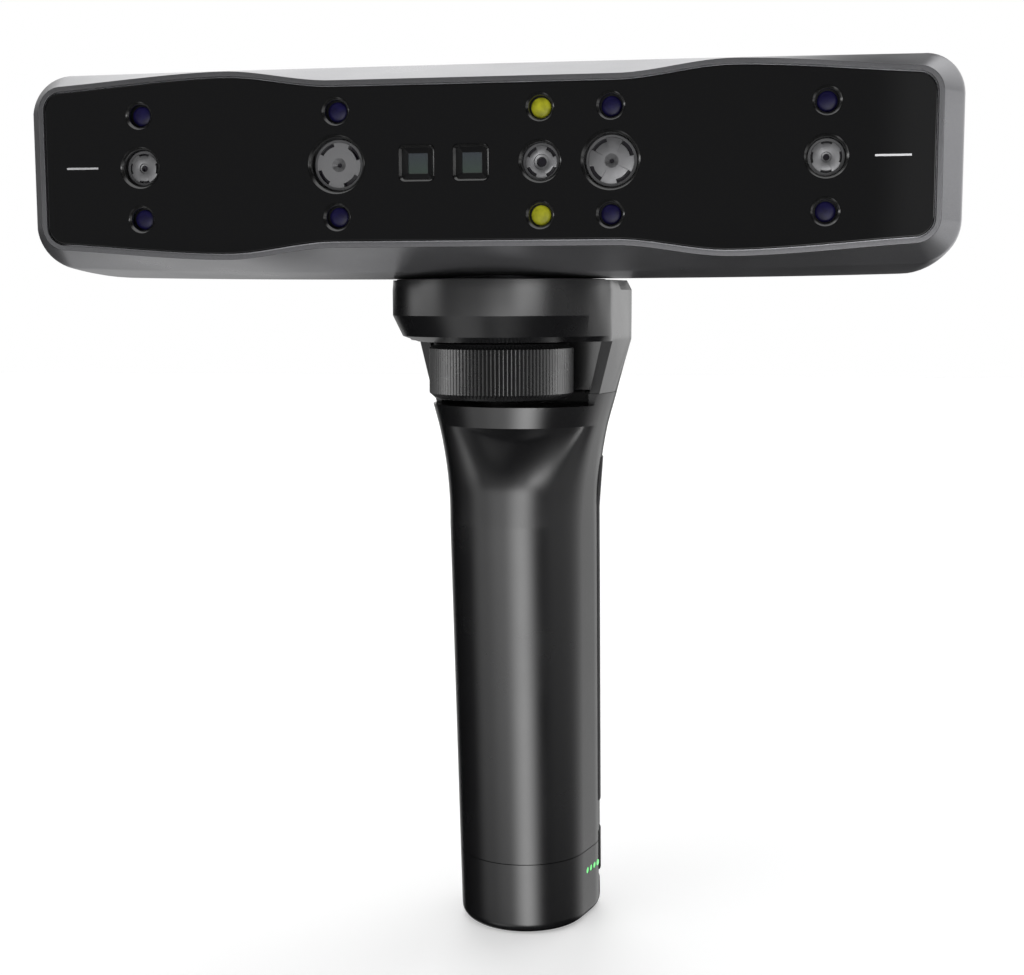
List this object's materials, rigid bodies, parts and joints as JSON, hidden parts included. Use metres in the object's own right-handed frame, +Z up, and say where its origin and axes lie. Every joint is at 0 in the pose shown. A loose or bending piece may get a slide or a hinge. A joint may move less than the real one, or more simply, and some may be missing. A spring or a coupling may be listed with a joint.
{
  "type": "handheld 3d scanner",
  "caption": "Wide camera head with round lenses, LED lights and pattern projectors on a battery handle with a clamping thumb wheel.",
  "frame": {"origin": "on the axis of the clamping screw, in the plane of the handle's flat foot", "axes": "+Z up along the clamping screw, the head's cameras look along -Y, +X towards the head's right end seen from its front"},
  "size_m": [0.2208, 0.0797, 0.2246],
  "materials": {
    "head_shell": "satin",
    "handle_shell": "satin",
    "rubber": "matte",
    "wheel": "satin",
    "front_glass": "gloss",
    "sight_mark": "satin",
    "keys": "satin",
    "inner_plastic": "matte",
    "lens_ring": "satin",
    "lens_glass": "gloss",
    "blue_led": "gloss",
    "fill_led": "gloss",
    "window": "gloss",
    "light_pipe": "gloss",
    "circuit": "satin",
    "cell_can": "satin",
    "bench": "satin",
    "steel": "satin"
  },
  "bodies": {
    "grip": {"yoke": "handle_shell", "friction_pad": "rubber", "grip_shell": "handle_shell", "grip_strip": "rubber", "yoke_screws": "steel", "grip_board": "circuit", "output_port": "steel"},
    "power_key": {"power_button": "keys"},
    "wheel": {"lock_wheel": "wheel", "lock_screw": "steel"},
    "battery": {"foot_cap": "handle_shell", "battery_carrier": "inner_plastic", "battery_cell": "cell_can", "charge_board": "circuit", "charge_lights": "light_pipe", "charge_port": "steel"},
    "latch": {"battery_latch": "rubber"},
    "scan_key": {"scan_button": "keys"},
    "minus_key": {"minus_button": "keys"},
    "plus_key": {"plus_button": "keys"},
    "head": {"front_shell": "head_shell", "rear_cover": "head_shell", "front_glass": "front_glass", "sight_marks": "sight_mark", "optical_bench": "bench", "led_strip_upper": "circuit", "led_strip_lower": "circuit", "blue_leds": "blue_led", "fill_leds": "fill_led", "window_left": "window", "window_right": "window", "projector_left": "inner_plastic", "projector_right": "inner_plastic", "main_board": "circuit", "heat_sink": "bench", "usb_port": "steel", "button_board": "circuit", "cover_screws": "steel", "mount_plate": "steel", "thread_insert": "steel", "lens_barrel_outer_left": "inner_plastic", "lens_ring_outer_left": "lens_ring", "lens_outer_left": "lens_glass", "sensor_board_outer_left": "circuit", "lens_barrel_inner_left": "inner_plastic", "lens_ring_inner_left": "lens_ring", "lens_inner_left": "lens_glass", "sensor_board_inner_left": "circuit", "lens_barrel_color": "inner_plastic", "lens_ring_color": "lens_ring", "lens_color": "lens_glass", "sensor_board_color": "circuit", "lens_barrel_inner_right": "inner_plastic", "lens_ring_inner_right": "lens_ring", "lens_inner_right": "lens_glass", "sensor_board_inner_right": "circuit", "lens_barrel_outer_right": "inner_plastic", "lens_ring_outer_right": "lens_ring", "lens_outer_right": "lens_glass", "sensor_board_outer_right": "circuit"}
  },
  "joints": [
    {"name": "battery_slide", "type": "slide", "parent": "battery", "child": "grip", "axis": [0, 0, 1], "range_m": [0, 0.1]},
    {"name": "wheel_turn", "type": "hinge", "parent": "grip", "child": "wheel", "pos_m": [0, 0, 0.149], "axis": [0, 0, 1], "continuous": true},
    {"name": "head_swivel", "type": "hinge", "parent": "grip", "child": "head", "pos_m": [0, 0, 0.1722], "axis": [0, 0, 1], "continuous": true},
    {"name": "latch_slide", "type": "slide", "parent": "battery", "child": "latch", "axis": [0, 0, -1], "range_m": [0, 0.003], "stiffness_N_per_m": 300},
    {"name": "power_press", "type": "slide", "parent": "grip", "child": "power_key", "axis": [-0.2924, -0.9563, 0], "range_m": [0, 0.0006], "stiffness_N_per_m": 800},
    {"name": "scan_press", "type": "slide", "parent": "head", "child": "scan_key", "axis": [0, -1, 0], "range_m": [0, 0.0007], "stiffness_N_per_m": 800},
    {"name": "minus_press", "type": "slide", "parent": "head", "child": "minus_key", "axis": [0, -1, 0], "range_m": [0, 0.0007], "stiffness_N_per_m": 800},
    {"name": "plus_press", "type": "slide", "parent": "head", "child": "plus_key", "axis": [0, -1, 0], "range_m": [0, 0.0007], "stiffness_N_per_m": 800}
  ]
}
